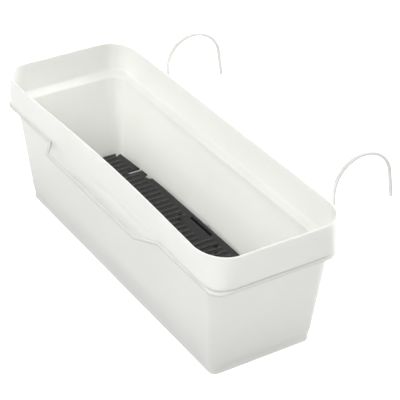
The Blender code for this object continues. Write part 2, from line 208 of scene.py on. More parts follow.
# Corner radii: rear right, rear left, front left, front right
RING_R = (0.0245, 0.0245, 0.0180, 0.0140)
BAY_CENTRE_X = 0.002
BAY_FOOT_X = 0.128
BAY_TOP_X = 0.1035
BAY_Y = -RING_LOW.y - WIRE_R
BAY_BEND_R = 0.007
HOOK_X = 0.180
WELD_GAP = 0.0003
HOOK_WELD_Y = RING_HALF[1] + 2 * WIRE_R + WELD_GAP
HOOK_WELD_LENGTH = 0.040
HOOK_LEG_Y = 0.1135
HOOK_R = 0.0382
HOOK_CENTRE_Y = 0.1517
HOOK_TIP_Y = 0.19418
HOOK_TIP_DROP = 0.0290
HOOK_BEND_R = 0.010
HOOK_BEND_STEPS = 16
CROWN_STEPS = 72
# The hook foot's rounded end: share of the way along the foot, share of the wire's radius
FOOT_END = ((0.0, 0.5), (0.008, 0.76), (0.02, 0.92), (0.04, 1.0))
TIP_ROUND = 0.0016
TIP_STEPS = 8
# The tip's rounding: least share of the wire's radius, power
TIP_THIN = (0.05, 0.8)
BEND_STEPS = (10, 28)
WIRE_SIDES = 10
WELD_BACK = (0.014, 0.034)
WELD_RISE = 0.00125
WELD = (0.0040, 0.0014, 0.00105)
# Height and pitch of the ripples and the lumps on a weld bead
RIPPLE = (0.05, 9.0)
LUMP = (0.10, 2.2)


# ---------------------------------------------------------------- materials
SPAN_ENDS = ("From Min", "From Max", "To Min", "To Max")


class Skin:
    """A node material whose patterns are measured in metres on the object."""

    def __init__(self, name, colour, roughness):
        self.material = bpy.data.materials.new(name)
        self.material.use_nodes = True
        self.tree = self.material.node_tree
        self.shader = self.tree.nodes["Principled BSDF"]
        self.shader.inputs["Base Color"].default_value = (*colour, 1.0)
        self.shader.inputs["Roughness"].default_value = roughness
        self.place = self.node("ShaderNodeTexCoord").outputs["Object"]
        self.height = None

    def node(self, kind, **settings):
        made = self.tree.nodes.new(kind)
        for key, value in settings.items():
            setattr(made, key, value)
        return made

    def link(self, source, target):
        self.tree.links.new(source, target)

    def stretched(self, scale):
        mapping = self.node("ShaderNodeMapping")
        mapping.inputs["Scale"].default_value = scale
        self.link(self.place, mapping.inputs["Vector"])
        return mapping.outputs["Vector"]

    def noise(self, scale, detail=2.0, rough=0.5, place=None):
        made = self.node("ShaderNodeTexNoise")
        made.inputs["Scale"].default_value = scale
        made.inputs["Detail"].default_value = detail
        made.inputs["Roughness"].default_value = rough
        self.link(place or self.place, made.inputs["Vector"])
        return made.outputs["Fac"]

    def span(self, value, low, high, to_low, to_high):
        made = self.node("ShaderNodeMapRange")
        for key, number in zip(SPAN_ENDS, (low, high, to_low, to_high)):
            made.inputs[key].default_value = number
        self.link(value, made.inputs["Value"])
        return made.outputs["Result"]

    def math(self, operation, a, b):
        made = self.node("ShaderNodeMath", operation=operation)
        for socket, value in zip(made.inputs, (a, b)):
            if isinstance(value, (int, float)):
                socket.default_value = value
            else:
                self.link(value, socket)
        return made.outputs[0]

    def mix(self, share, a, b):
        made = self.node("ShaderNodeMix", data_type="RGBA")
        self.link(share, made.inputs["Factor"])
        for index, value in ((6, a), (7, b)):
            if isinstance(value, tuple):
                made.inputs[index].default_value = (*value, 1.0)
            else:
                self.link(value, made.inputs[index])
        return made.outputs[2]

    def bump(self, height, strength, distance):
        made = self.node("ShaderNodeBump")
        made.inputs["Strength"].default_value = strength
        made.inputs["Distance"].default_value = distance
        self.link(height, made.inputs["Height"])
        if self.height is not None:
            self.link(self.height, made.inputs["Normal"])
        self.height = made.outputs["Normal"]
        self.link(self.height, self.shader.inputs["Normal"])

    def colour(self, value):
        self.link(value, self.shader.inputs["Base Color"])

    def roughness(self, value):
        self.link(value, self.shader.inputs["Roughness"])

    def heights(self):
        """The object's X, Y and Z at the point, in metres."""
        made = self.node("ShaderNodeSeparateXYZ")
        self.link(self.place, made.inputs["Vector"])
        return made.outputs


def box_skin():
    """Off-white moulded polypropylene that lets a little light through.

    It has a fine spark-eroded grain, faint flow clouds and small specks.
    """
    skin = Skin("box_plastic", (0.82, 0.83, 0.79), 0.45)
    shader = skin.shader.inputs
    shader["Subsurface Weight"].default_value = 0.8
    shader["Subsurface Radius"].default_value = (1.0, 1.0, 1.0)
    shader["Subsurface Scale"].default_value = 0.007
    clouds = skin.noise(9.0, 3.0, 0.55, skin.stretched((0.6, 1.0, 1.4)))
    tint = skin.mix(skin.span(clouds, 0.3, 0.7, 0.0, 1.0), (0.930, 0.936, 0.872), (0.945, 0.951, 0.888))
    speck = skin.span(skin.noise(520.0, 2.0), 0.62, 0.74, 0.0, 0.16)
    skin.colour(skin.mix(speck, tint, (0.885, 0.890, 0.825)))
    skin.roughness(skin.span(skin.noise(34.0, 4.0, 0.6), 0.3, 0.7, 0.40, 0.53))
    skin.bump(skin.noise(7.0, 1.0), 0.10, 0.004)
    skin.bump(skin.noise(900.0, 4.0, 0.6), 0.16, 0.0002)
    return skin.material


def plate_skin(name, shiny):
    """Anthracite moulded polypropylene: coarse grain, and a painted highlight that makes the rib tops paler
    in patches.
    """
    skin = Skin(name, (0.047, 0.048, 0.051), 0.58)
    clouds = skin.noise(26.0, 4.0, 0.6)
    tint = skin.mix(skin.span(clouds, 0.3, 0.7, 0.0, 1.0), (0.014, 0.0143, 0.015), (0.021, 0.0214, 0.0228))
    # Painted highlight: the upper part of each rib is painted paler, broken up by noise, where light falls
    # on it
    rib_top_highlight = skin.span(skin.heights()[2], PLATE_Z + PLATE_T + 0.45 * RIB_H, PLATE_HIGH.z, 0.0, 1.0)
    rib_top_highlight = skin.math("MULTIPLY", rib_top_highlight, skin.span(skin.noise(300.0, 3.0), 0.35, 0.62, 0.15, 0.85))
    tint = skin.mix(rib_top_highlight, tint, (0.068, 0.069, 0.073))
    dust = skin.span(skin.noise(700.0, 2.0), 0.66, 0.78, 0.0, 0.5)
    skin.colour(skin.mix(dust, tint, (0.09, 0.088, 0.083)))
    skin.roughness(skin.span(clouds, 0.3, 0.7, shiny, shiny + 0.12))
    skin.bump(skin.noise(60.0, 2.0), 0.12, 0.0006)
    skin.bump(skin.noise(1100.0, 3.0, 0.6), 0.35, 0.00018)
    return skin.material


def felt_skin():
    """Black needle-punched felt: matted fibres that lie mostly across the strip."""
    skin = Skin("wick_felt", (0.012, 0.012, 0.013), 0.95)
    shader = skin.shader.inputs
    shader["Sheen Weight"].default_value = 0.03
    shader["Sheen Roughness"].default_value = 0.55
    shader["Sheen Tint"].default_value = (0.50, 0.50, 0.52, 1.0)
    shader["Specular IOR Level"].default_value = 0.05
    along = skin.noise(2400.0, 3.0, 0.7, skin.stretched((0.35, 1.0, 1.0)))
    up = skin.noise(2600.0, 3.0, 0.7, skin.stretched((1.0, 1.0, 0.30)))
    fibre = skin.math("MAXIMUM", along, up)
    clumps = skin.noise(260.0, 3.0)
    tint = skin.mix(skin.span(fibre, 0.5, 0.75, 0.0, 1.0), (0.003, 0.003, 0.0035), (0.010, 0.010, 0.011))
    skin.colour(skin.mix(skin.span(clumps, 0.4, 0.65, 0.0, 0.6), tint, (0.006, 0.0055, 0.0055)))
    skin.roughness(skin.span(clumps, 0.3, 0.7, 0.86, 1.0))
    skin.bump(clumps, 0.5, 0.0005)
    skin.bump(fibre, 0.8, 0.0002)
    return skin.material


def rubber_skin():
    """Pale grey soft rubber with a dull bloom."""
    skin = Skin("plug_rubber", (0.60, 0.61, 0.59), 0.66)
    bloom = skin.noise(420.0, 4.0, 0.6)
    skin.colour(skin.mix(skin.span(bloom, 0.35, 0.7, 0.0, 1.0), (0.57, 0.58, 0.56), (0.66, 0.665, 0.65)))
    skin.roughness(skin.span(bloom, 0.3, 0.7, 0.58, 0.76))
    skin.bump(skin.noise(1500.0, 3.0), 0.25, 0.00015)
    return skin.material


def wire_skin():
    """White powder coat on steel wire, with orange peel and a few duller specks."""
    skin = Skin("coated_wire", (0.83, 0.83, 0.81), 0.34)
    skin.shader.inputs["Coat Weight"].default_value = 0.05
    skin.shader.inputs["Coat Roughness"].default_value = 0.18
    clouds = skin.noise(55.0, 3.0, 0.6)
    tint = skin.mix(skin.span(clouds, 0.3, 0.7, 0.0, 1.0), (0.815, 0.819, 0.785), (0.845, 0.848, 0.818))
    speck = skin.span(skin.noise(1300.0, 2.0), 0.68, 0.78, 0.0, 0.35)
    skin.colour(skin.mix(speck, tint, (0.60, 0.60, 0.57)))
    skin.roughness(skin.span(skin.noise(160.0, 3.0), 0.3, 0.7, 0.42, 0.55))
    skin.bump(skin.noise(620.0, 1.5), 0.28, 0.0003)
    return skin.material


def floor_skin():
    """White studio paper that glows enough to stay clean far from the lamps."""
    skin = Skin("studio_floor", (0.93, 0.93, 0.92), 0.8)
    paper = skin.noise(3.0, 2.0)
    skin.colour(skin.mix(paper, (0.925, 0.925, 0.915), (0.935, 0.935, 0.925)))
    skin.shader.inputs["Emission Color"].default_value = (1.0, 1.0, 1.0, 1.0)
    skin.shader.inputs["Emission Strength"].default_value = FLOOR_GLOW
    return skin.material


BOX_SKIN = box_skin()
PLATE_SKIN = plate_skin("plate_plastic", 0.50)
LEG_SKIN = plate_skin("leg_plastic", 0.46)
FELT_SKIN = felt_skin()
RUBBER_SKIN = rubber_skin()
WIRE_SKIN = wire_skin()


# ---------------------------------------------------------------- mesh tools
MERGE_DISTANCE = 0.000005
# The most of a straight stretch that the rounding of one corner may take up
LINE_SHARE = 0.48
WALL_SHARE = 0.46
ON_AXIS = 1e-7
NORMAL_WEIGHT = 80


def add(name, mesh, skin=None):
    """Put a mesh in the scene under its piece name."""
    mesh.name = name
    obj = bpy.data.objects.new(name, mesh)
    bpy.context.scene.collection.objects.link(obj)
    if skin is not None:
        mesh.materials.clear()
        mesh.materials.append(skin)
    return obj


def from_bmesh(name, shape, skin=None):
    """Put a closed shape in the scene with its faces turned outward."""
    bmesh.ops.recalc_face_normals(shape, faces=shape.faces)
    mesh = bpy.data.meshes.new(name)
    shape.to_mesh(mesh)
    shape.free()
    return add(name, mesh, skin)


def loft(name, rings, skin=None):
    """Capped skin through rings that all hold the same number of points."""
    shape = bmesh.new()
    made = [[shape.verts.new(point) for point in ring] for ring in rings]
    count = len(rings[0])
    for low, high in zip(made, made[1:]):
        for i in range(count):
            j = (i + 1) % count
            shape.faces.new((low[i], low[j], high[j], high[i]))
    shape.faces.new(tuple(reversed(made[0])))
    shape.faces.new(tuple(made[-1]))
    return from_bmesh(name, shape, skin)


def lathe(name, profile, centre=(0, 0, 0), axis="Z", sides=64, shape_at=None):
    """Closed solid of revolution; the profile runs from the axis round the section back to the axis."""
    shape = bmesh.new()
    rows = []
    for r, z in profile:
        if r < ON_AXIS:
            rows.append([shape.verts.new((0.0, 0.0, z))])
            continue
        row = []
        for i in range(sides):
            angle = 2 * math.pi * i / sides
            reach = r * (shape_at(angle, z) if shape_at else 1.0)
            row.append(shape.verts.new((reach * math.cos(angle), reach * math.sin(angle), z)))
        rows.append(row)
    for low, high in zip(rows, rows[1:]):
        for i in range(sides):
            j = (i + 1) % sides
            corners = [low[i % len(low)], low[j % len(low)], high[j % len(high)], high[i % len(high)]]
            corners = [v for k, v in enumerate(corners) if v not in corners[:k]]
            if len(corners) > 2:
                shape.faces.new(corners)
    if axis == "Y":
        bmesh.ops.rotate(shape, cent=(0, 0, 0), matrix=Matrix.Rotation(math.radians(-90), 3, "X"),
                         verts=shape.verts)
    bmesh.ops.translate(shape, vec=centre, verts=shape.verts)
    return from_bmesh(name, shape)


def rounded(profile, reaches, steps=4):
    """Round the corners of a section, each over its own reach."""
    points = [profile[0]]
    for before, here, after, cut in zip(profile, profile[1:], profile[2:], reaches[1:]):
        if cut == 0:
            points.append(here)
            continue
        back = min(LINE_SHARE, cut / math.dist(before, here))
        ahead = min(LINE_SHARE, cut / math.dist(here, after))
        for i in range(steps + 1):
            t = i / steps
            points.append(tuple((1 - t) ** 2 * (h + (b - h) * back) + 2 * t * (1 - t) * h
                                + t * t * (h + (a - h) * ahead) for b, h, a in zip(before, here, after)))
    points.append(profile[-1])
    return points


def block(name, centre, size, edge):
    """Rectangular bar with rounded edges."""
    shape = bmesh.new()
    bmesh.ops.create_cube(shape, size=1.0)
    bmesh.ops.scale(shape, vec=size, verts=shape.verts)
    bmesh.ops.bevel(shape, geom=list(shape.edges), offset=edge, segments=3, profile=0.5, affect="EDGES")
    bmesh.ops.translate(shape, vec=centre, verts=shape.verts)
    return from_bmesh(name, shape)


def slot_block(name, centre, size, radius, sides=8):
    """Upright cutter with rounded vertical corners."""
    hx, hy = size[0] / 2 - radius, size[1] / 2 - radius
    ring = []
    for quarter, (sx, sy) in enumerate(((1, 1), (-1, 1), (-1, -1), (1, -1))):
        for i in range(sides + 1):
            angle = math.radians(90 * (quarter + i / sides))
            ring.append((centre[0] + sx * hx + radius * math.cos(angle),
                         centre[1] + sy * hy + radius * math.sin(angle)))
    low, high = centre[2] - size[2] / 2, centre[2] + size[2] / 2
    return loft(name, [[(x, y, z) for x, y in ring] for z in (low, high)])


def baked(obj):
    """The object's mesh with its modifiers or curve settings applied."""
    bpy.context.view_layer.update()
    return bpy.data.meshes.new_from_object(obj.evaluated_get(bpy.context.evaluated_depsgraph_get()))


def evaluated(obj):
    """The baked mesh, welded and with its faces turned outward."""
    mesh = baked(obj)
    shape = bmesh.new()
    shape.from_mesh(mesh)
    bmesh.ops.remove_doubles(shape, verts=shape.verts, dist=MERGE_DISTANCE)
    bmesh.ops.recalc_face_normals(shape, faces=shape.faces)
    shape.to_mesh(mesh)
    shape.free()
    return mesh


def merged(name, pieces):
    """Several pieces that don't touch, as one object."""
    shape = bmesh.new()
    for piece in pieces:
        shape.from_mesh(piece.data)
        bpy.data.objects.remove(piece, do_unlink=True)
    return from_bmesh(name, shape)


def combine(obj, other, operation):
    """Boolean one object with another and drop the second."""
    step = obj.modifiers.new(operation.lower(), "BOOLEAN")
    step.operation = operation
    step.solver = "EXACT"
    step.object = other
    mesh = evaluated(obj)
    obj.modifiers.remove(step)
    skins = list(obj.data.materials)
    obj.data = mesh
    mesh.materials.clear()
    for skin in skins:
        mesh.materials.append(skin)
    for face in mesh.polygons:
        face.material_index = 0
    bpy.data.objects.remove(other, do_unlink=True)
    return obj


def shaded(obj, angle=30.0):
    """Smooth shading that keeps broad faces flat and real edges sharp."""
    obj.data.shade_smooth()
    obj.data.set_sharp_from_angle(angle=math.radians(angle))
    weigh = obj.modifiers.new("weigh", "WEIGHTED_NORMAL")
    weigh.keep_sharp = True
    weigh.weight = NORMAL_WEIGHT
    mesh = baked(obj)
    mesh.name = obj.name
    obj.modifiers.clear()
    obj.data = mesh
    return obj


def finished(obj, body, slot, *nodes):
    """Put a piece on its body and let it stand for its CAD nodes; the slot, its finish's name, is not used.
    """
    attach(obj, body)
    if nodes:
        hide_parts(*nodes)
    return obj


def between(low, high, t):
    """The values a share t of the way from low to high."""
    return tuple(a + (b - a) * t for a, b in zip(low, high))


# ---------------------------------------------------------------- planter box
def outline(half_x, half_y, radius, bow, z):
    """Rounded rectangle at one height, counter-clockwise from above.

    The bow pulls the front side inward and draws the corners out along the box.
    """
    points = []
    draw = CORNER_DRAW * max(0.0, bow - COLLAR_BOW)
    span = half_x - radius - draw
    for quarter, (sx, sy) in enumerate(((1, 1), (-1, 1), (-1, -1), (1, -1))):
        cx, cy = sx * span, sy * (half_y - radius)
        for i in range(CORNER_STEPS + 1):
            angle = math.radians(90 * (quarter + i / CORNER_STEPS))
            points.append((cx + (radius + draw) * math.cos(angle), cy + radius * math.sin(angle), z))
        if quarter == 2:
            for i in range(1, FRONT_STEPS):
                x = span * (2 * i / FRONT_STEPS - 1)
                away = min(1.0, abs(x - BOW_CENTRE_X) / BOW_REACH)
                points.append((x, -half_y + bow * (1 - away ** 2) ** BOW_POWER, z))
    return points


def body_station(z, inset, reach):
    """Half sizes, corner radius, bow and height of the tapered body, and how far its corner is rounded."""
    t = z / WAIST_Z
    if z < FOOT_BLEND_Z:
        t = max(0.0, z - FOOT_Z) / (FOOT_BLEND_Z - FOOT_Z) * FOOT_BLEND_Z / WAIST_Z
    half = between(BASE_HALF, WAIST_HALF, t)
    radius = BASE_R + (WAIST_R - BASE_R) * t
    return half[0] - inset, half[1] - inset, max(MIN_CORNER_R, radius - inset), 0.0, z, reach


def collar_station(z, inset, reach):
    """The same for the collar, whose bow grows towards the rim."""
    t = (z - COLLAR_Z) / (HEIGHT - COLLAR_Z)
    half = between(COLLAR_HALF, RIM_HALF, t)
    radius = COLLAR_R + (RIM_R - COLLAR_R) * t
    bow = COLLAR_BOW + (RIM_BOW - COLLAR_BOW) * t
    return half[0] - inset, half[1] - inset, radius - inset, bow, z, reach


def step_stations(profile, inset, reach):
    """The slope between body and collar, on the outside or the inside."""
    outer = collar_station(COLLAR_Z, inset, 0.0)
    inner = body_station(WAIST_Z, inset, 0.0)
    stations = []
    for t, z in profile:
        x, y, radius, bow = between(outer[:4], inner[:4], t)
        stations.append((x, y, radius, bow, z, reach))
    return stations


def softened(stations, steps=5):
    """Round the corners of the wall's section, each over its own reach."""
    rings = [stations[0][:5]]
    for before, here, after in zip(stations, stations[1:], stations[2:]):
        gone = math.hypot(here[0] - before[0], here[4] - before[4])
        ahead = math.hypot(after[0] - here[0], after[4] - here[4])
        back = min(WALL_SHARE, here[5] / gone)
        on = min(WALL_SHARE, here[5] / ahead)
        for i in range(steps + 1):
            t = i / steps
            rings.append(tuple((1 - t) ** 2 * (h + (b - h) * back) + 2 * t * (1 - t) * h
                               + t * t * (h + (a - h) * on)
                               for b, h, a in zip(before[:5], here[:5], after[:5])))
    rings.append(stations[-1][:5])
    return rings


def box_shell():
    """Tapered shell with a stepped-out collar, a rounded rim, a foot band and a recessed stand panel."""
    stations = [
        (*body_station(0.0, STAND_INSET + STAND_RAMP, 0.0)[:4], STAND_RECESS, 0.0),
        body_station(0.0, STAND_INSET, STAND_SOFT),
        body_station(0.0, 0.0, BASE_EDGE),
        body_station(FOOT_Z, 0.0, FOOT_SOFT),
        body_station(FOOT_BLEND_Z, 0.0, BLEND_SOFT),
    ]
    stations += step_stations(STEP_OUTSIDE, 0.0, STEP_SOFT[0])
    stations += [
        collar_station(COLLAR_Z + COLLAR_FOOT, 0.0, COLLAR_SOFT),
        collar_station(HEIGHT, 0.0, RIM_EDGE),
        collar_station(HEIGHT, WALL, RIM_EDGE),
    ]
    stations += step_stations(STEP_INSIDE, WALL, STEP_SOFT[1])
    stations += [
        body_station(FOOT_BLEND_Z, WALL, BLEND_SOFT),
        body_station(FLOOR, WALL, FLOOR_SOFT),
        body_station(FLOOR, WALL + FLOOR_FLAT_INSET, 0.0),
    ]
    shell = loft("box_shell", [outline(*station) for station in softened(stations)], BOX_SKIN)
    overflow_port(shell)
    stand_marks(shell)
    return finished(shaded(shell, 28.0), "box", "box_plastic", "planter_box")


def overflow_port(shell):
    """Round boss on the rear wall with a chamfered port through it."""
    middle = (BOSS_ROOT_Y + BOSS_FACE_Y) / 2
    half = (BOSS_FACE_Y - BOSS_ROOT_Y) / 2
    boss = lathe("boss", rounded([(0.0, -half), (BOSS_R, -half), (BOSS_R, half), (0.0, half)],
                                 [0, 0, BOSS_SOFT, 0]), (0, middle, PORT_Z), "Y")
    combine(shell, boss, "UNION")
    wide = PORT_R + PORT_CHAMFER
    port = lathe("port", [(0.0, -CUT_DEPTH), (PORT_R, -CUT_DEPTH), (PORT_R, half + PORT_CHAMFER_Z[0]),
                          (wide, half + PORT_CHAMFER_Z[1]), (wide, CUT_DEPTH), (0.0, CUT_DEPTH)],
                 (0, middle, PORT_Z), "Y")
    combine(shell, port, "DIFFERENCE")


def stand_marks(shell):
    """Ejector marks pressed into the stand panel, and the nub of the gate at its middle."""
    profile = [(0.0, -MARK_CUT), (MARK_R, -MARK_CUT), (MARK_R, MARK_DEPTH), (0.0, MARK_DEPTH)]
    marks = [lathe("mark", profile, (x, y, STAND_RECESS), sides=40) for x in MARK_X for y in MARK_Y]
    combine(shell, merged("marks", marks), "DIFFERENCE")
    profile = [(0.0, GATE_Z[0]), (GATE_R[0], GATE_Z[0]), (GATE_R[1], GATE_Z[1]), (0.0, GATE_Z[1])]
    gate = lathe("gate", rounded(profile, [0, 0, GATE_SOFT, 0]), (0, 0, STAND_RECESS), sides=32)
    combine(shell, gate, "UNION")


def plug():
    """Push-in overflow plug: stepped stem with a lip, domed head and a ribbed finger tab."""
    head = PLUG_HEAD_T
    stem = PORT_R - PLUG_GAP
    profile = [(0.0, head), (PLUG_HEAD_R - PLUG_DOME[0], head), (PLUG_HEAD_R, head - PLUG_DOME[1]),
               (PLUG_HEAD_R, 0.0), (stem, 0.0)]
    profile += [(stem - slimmer, z) for slimmer, z in PLUG_STEM]
    profile.append((0.0, PLUG_STEM[-1][1]))
    face = BOSS_FACE_Y + PLUG_GAP
    piece = lathe("overflow_stopper", rounded(profile, PLUG_SOFT), (0, face, PORT_Z), "Y")
    piece.data.materials.append(RUBBER_SKIN)
    top = PLUG_HIGH.y
    root = face + head - PLUG_TAB_ROOT
    middle = (top + root) / 2
    tab = block("tab", (0, middle, PORT_Z), (PLUG_TAB[0], top - root, PLUG_TAB[1]), PLUG_TAB_SOFT)
    combine(piece, tab, "UNION")
    grips = []
    for side in (-1, 1):
        for i in range(GRIPS):
            centre = ((i - GRIPS // 2) * GRIP_PITCH, middle + GRIP_START, PORT_Z + side * PLUG_TAB[1] / 2)
            grips.append(slot_block("groove", centre, (GRIP[0], top - root, GRIP[1]), GRIP[2], 2))
    combine(piece, merged("grips", grips), "DIFFERENCE")
    return finished(shaded(piece), "plug", "plug_rubber", "overflow_plug")


# ---------------------------------------------------------------- reservoir plate
def plate_edge(x):
    """Distance of the plate's long edge from its centre line."""
    if x <= PLATE_WAIST_X:
        return PLATE_HALF[1]
    t = (x - PLATE_WAIST_X) / (PLATE_HALF[0] - PLATE_WAIST_X)
    return PLATE_HALF[1] - PLATE_TAPER * t ** PLATE_TAPER_POWER


def plate_quarter():
    """Edge points of the +X +Y quarter, from where the long side starts to taper to the short end."""
    points = [(x, plate_edge(x)) for x in (PLATE_WAIST_X, *TAPER_MARKS[:3])]
    for i in range(FINGER_STEPS + 1):
        angle = math.pi * i / FINGER_STEPS
        x = FINGER_X - FINGER_R * math.cos(angle)
        points.append((x, plate_edge(x) - FINGER_DEPTH * math.sin(angle)))
    low, high = DRAIN_SLOT_X
    radius = (high - low) / 2
    points.append((low, plate_edge(low)))
    for i in range(SLOT_END_STEPS + 1):
        angle = math.pi * (1 + i / SLOT_END_STEPS)
        points.append((low + radius + radius * math.cos(angle),
                       DRAIN_SLOT_Y + radius + radius * math.sin(angle)))
    points.append((high, plate_edge(high)))
    points += [(x, plate_edge(x)) for x in TAPER_MARKS[3:]]
    corner = rounded([points[-1], (NOTCH_X, plate_edge(NOTCH_X)), NOTCH_FOOT[0], NOTCH_FOOT[1],
                      (PLATE_HALF[0], PLATE_END_Y), (PLATE_HALF[0], 0.0)], END_SOFT)
    return points + corner[1:-1]


def shrunk(edge, inset):
    """A closed clockwise outline moved inward along its corners' bisectors."""
    moved = []
    for i, here in enumerate(edge):
        before, after = Vector(edge[i - 1]), Vector(edge[(i + 1) % len(edge)])
        here = Vector(here)
        a, b = (here - before).normalized(), (after - here).normalized()
        inward = Vector((a.y + b.y, -(a.x + b.x)))
        share = max(MIN_SHARE, inward.length / 2)
        moved.append(tuple(here + inward.normalized() * (inset / share)))
    return moved


def rib(x, reach, top):
    """Half-round rib across the plate that runs out at both ends."""
    rings = []
    stations = list(RIB_END) + [(-y, size) for y, size in reversed(RIB_END)]
    for y, size in stations:
        ring = []
        for i in range(RIB_STEPS + 1):
            angle = math.pi * i / RIB_STEPS
            ring.append((x + size * RIB_W / 2 * math.cos(angle), y * reach,
                         top + size * RIB_H * math.sin(angle)))
        ring += [(x + side * size * RIB_W / 2, y * reach, top - RIB_ROOT) for side in (-1, 1)]
        rings.append(ring)
    return loft("rib", rings)


def plate_ribs(top):
    """Every rib, shorter in the middle and beside the drain slots."""
    ribs = []
    for i in range(-RIBS_EACH_SIDE, RIBS_EACH_SIDE + 1):
        x = i * RIB_PITCH
        if abs(x) < RIB_SHORT_X:
            reach = RIB_SHORT_Y
        elif DRAIN_SLOT_X[0] < abs(x) + RIB_W / 2 and abs(x) - RIB_W / 2 < DRAIN_SLOT_X[1]:
            reach = DRAIN_SLOT_Y - RIB_SLOT_MARGIN
        else:
            reach = plate_edge(abs(x)) - RIB_MARGIN
        ribs.append(rib(x, reach, top))
    return merged("ribs", ribs)


def plate_sockets():
    """A short tube under the plate for each leg's spigot."""
    inner, outer = SOCKET_R
    root, roof, foot = PLATE_Z + SOCKET_ROOT, PLATE_Z - SOCKET_ROOF, PLATE_Z - SOCKET_DROP
    profile = [(0.0, root), (outer, root), (outer, foot), (inner, foot), (inner, roof), (0.0, roof)]
    section = rounded(profile, SOCKET_SOFT)
    return merged("sockets", [lathe("socket", section, (x, y, 0)) for x in LEG_X for y in LEG_Y])


def plate_cuts(top):
    """The wick slots and the drain holes, whose front set is the rear set turned round."""
    cuts = [slot_block("slot", (0, side * WICK_Y, top), (*WICK_SLOT, CUT_DEPTH), WICK_SLOT_R)
            for side in (-1, 1)]
    cuts += [slot_block("hole", (turn * x, turn * y, top), (*HOLE, CUT_DEPTH), HOLE_R)
             for turn in (-1, 1) for x, y in HOLES_REAR]
    return merged("cuts", cuts)


def plate():
    """Ribbed plate with rounded edges, drain slots, wick slots, holes and leg sockets."""
    quarter = plate_quarter()
    half = quarter + [(x, -y) for x, y in reversed(quarter)]
    edge = half + [(-x, y) for x, y in reversed(half)]
    top = PLATE_Z + PLATE_T
    rings = []
    for i in range(2 * PLATE_EDGE_STEPS):
        lower = i < PLATE_EDGE_STEPS
        angle = math.pi * (i if lower else i - 1) / (2 * PLATE_EDGE_STEPS - 2)
        centre_z = PLATE_Z + PLATE_EDGE_R if lower else top - PLATE_EDGE_R
        inset = PLATE_EDGE_R * (1 - math.sin(angle))
        rings.append([(x, y, centre_z - PLATE_EDGE_R * math.cos(angle)) for x, y in shrunk(edge, inset)])
    piece = loft("ribbed_plate", rings, PLATE_SKIN)
    shape = bmesh.new()
    shape.from_mesh(piece.data)
    bmesh.ops.triangulate(shape, faces=[f for f in shape.faces if len(f.verts) > 4])
    shape.to_mesh(piece.data)
    shape.free()
    combine(piece, plate_ribs(top), "UNION")
    combine(piece, plate_sockets(), "UNION")
    combine(piece, plate_cuts(top), "DIFFERENCE")
    return finished(shaded(piece, 26.0), "plate", "plate_plastic", "reservoir_plate")


def leg(number, x, y):
    """Hollow fluted post with a spigot, and four water notches in its foot."""
    shoulder = PLATE_Z - SOCKET_DROP - LEG_GAP
    spigot = PLATE_Z - SOCKET_ROOF - LEG_GAP
    foot = FLOOR + LEG_GAP
    roof = shoulder - LEG_WALL
    outside = [(LEG_TOP_R + (LEG_FOOT_R - LEG_TOP_R) * t, shoulder + (foot - shoulder) * t)
               for t in LEG_MARKS]
    profile = [(0.0, spigot), (LEG_SPIGOT_R, spigot), (LEG_SPIGOT_R, shoulder)] + outside
    profile += [(LEG_FOOT_R - LEG_WALL, foot), (LEG_TOP_R - LEG_WALL, roof), (0.0, roof)]

    def fluted(angle, z):
        if not foot + FLUTE_END < z < shoulder - FLUTE_END:
            return 1.0
        rise = min(1.0, (z - foot) / FLUTE_RISE[0], (shoulder - z) / FLUTE_RISE[1])
        return 1.0 - FLUTE_DEPTH * rise * max(0.0, math.cos(FLUTES * angle)) ** 2

    piece = lathe(f"plate_foot_{number}", rounded(profile, LEG_SOFT), (x, y, 0), sides=96,
                  shape_at=fluted)
    piece.data.materials.append(LEG_SKIN)
    narrow, long, tall = LEG_NOTCH
    for size in ((long, narrow, tall), (narrow, long, tall)):
        notch = block("notch", (0, 0, 0), size, LEG_NOTCH_SOFT)
        notch.data.transform(Matrix.Translation((x, y, foot)))
        combine(piece, notch, "DIFFERENCE")
    return finished(shaded(piece, 32.0), "plate", "leg_plastic", f"plate_leg_{number}")


def wick(name, node):
    """Felt strip with soft, slightly ragged edges."""
    low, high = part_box(node)
    centre = (low + high) / 2
    half_w, half_t, half_h = (high - low) / 2
    columns, rows = FELT_CELLS
    rings = []
    edge = half_t - FELT_LOOSE
    for r in range(rows + 1):
        v = 2 * r / rows - 1
        z = centre.z + v * (half_h - FELT_LOOSE)
        end = min(1.0, (1 - abs(v)) * half_h / edge)
        thick = edge * math.sqrt(max(0.0, 1 - (1 - end) ** 2)) * (1 - FELT_EDGE) + FELT_EDGE * edge
        ring = []
        for side in (1, -1):
            for c in range(columns + 1):
                u = side * (2 * c / columns - 1)
                x = centre.x + u * (half_w - FELT_LOOSE)
                near = min(1.0, (1 - abs(u)) * half_w / edge)
                y = side * thick * math.sqrt(max(0.0, 1 - (1 - near) ** 2))
                if c in (0, columns):
                    if side < 0:
                        continue
                    y = 0.0
                point = Vector((x, centre.y - y, z))
                fine, broad = (noise.noise_vector(point * wave) for wave in FELT_WAVES)
                point += (fine * FELT_FINE + broad) * FELT_LOOSE * FELT_WOBBLE
                ring.append(point)
        rings.append(ring)
    piece = loft(name, rings, FELT_SKIN)
    piece.data.shade_smooth()
    return finished(piece, "plate", "wick_felt", node)


# ---------------------------------------------------------------- wire hanger
def fillet(before, corner, after, radius, steps):
    """Points of an arc that rounds the corner of a wire path."""
    before, corner, after = Vector(before), Vector(corner), Vector(after)
    u, w = (before - corner).normalized(), (after - corner).normalized()
    opening = u.angle(w)
    reach = radius / math.tan(opening / 2)
    centre = corner + (u + w).normalized() * (radius / math.sin(opening / 2))
    start, end = corner + u * reach - centre, corner + w * reach - centre
    sweep = math.pi - opening
    points = []
    for i in range(steps + 1):
        t = i / steps
        points.append(centre + start * (math.sin((1 - t) * sweep) / math.sin(sweep))
                      + end * (math.sin(t * sweep) / math.sin(sweep)))
    return points


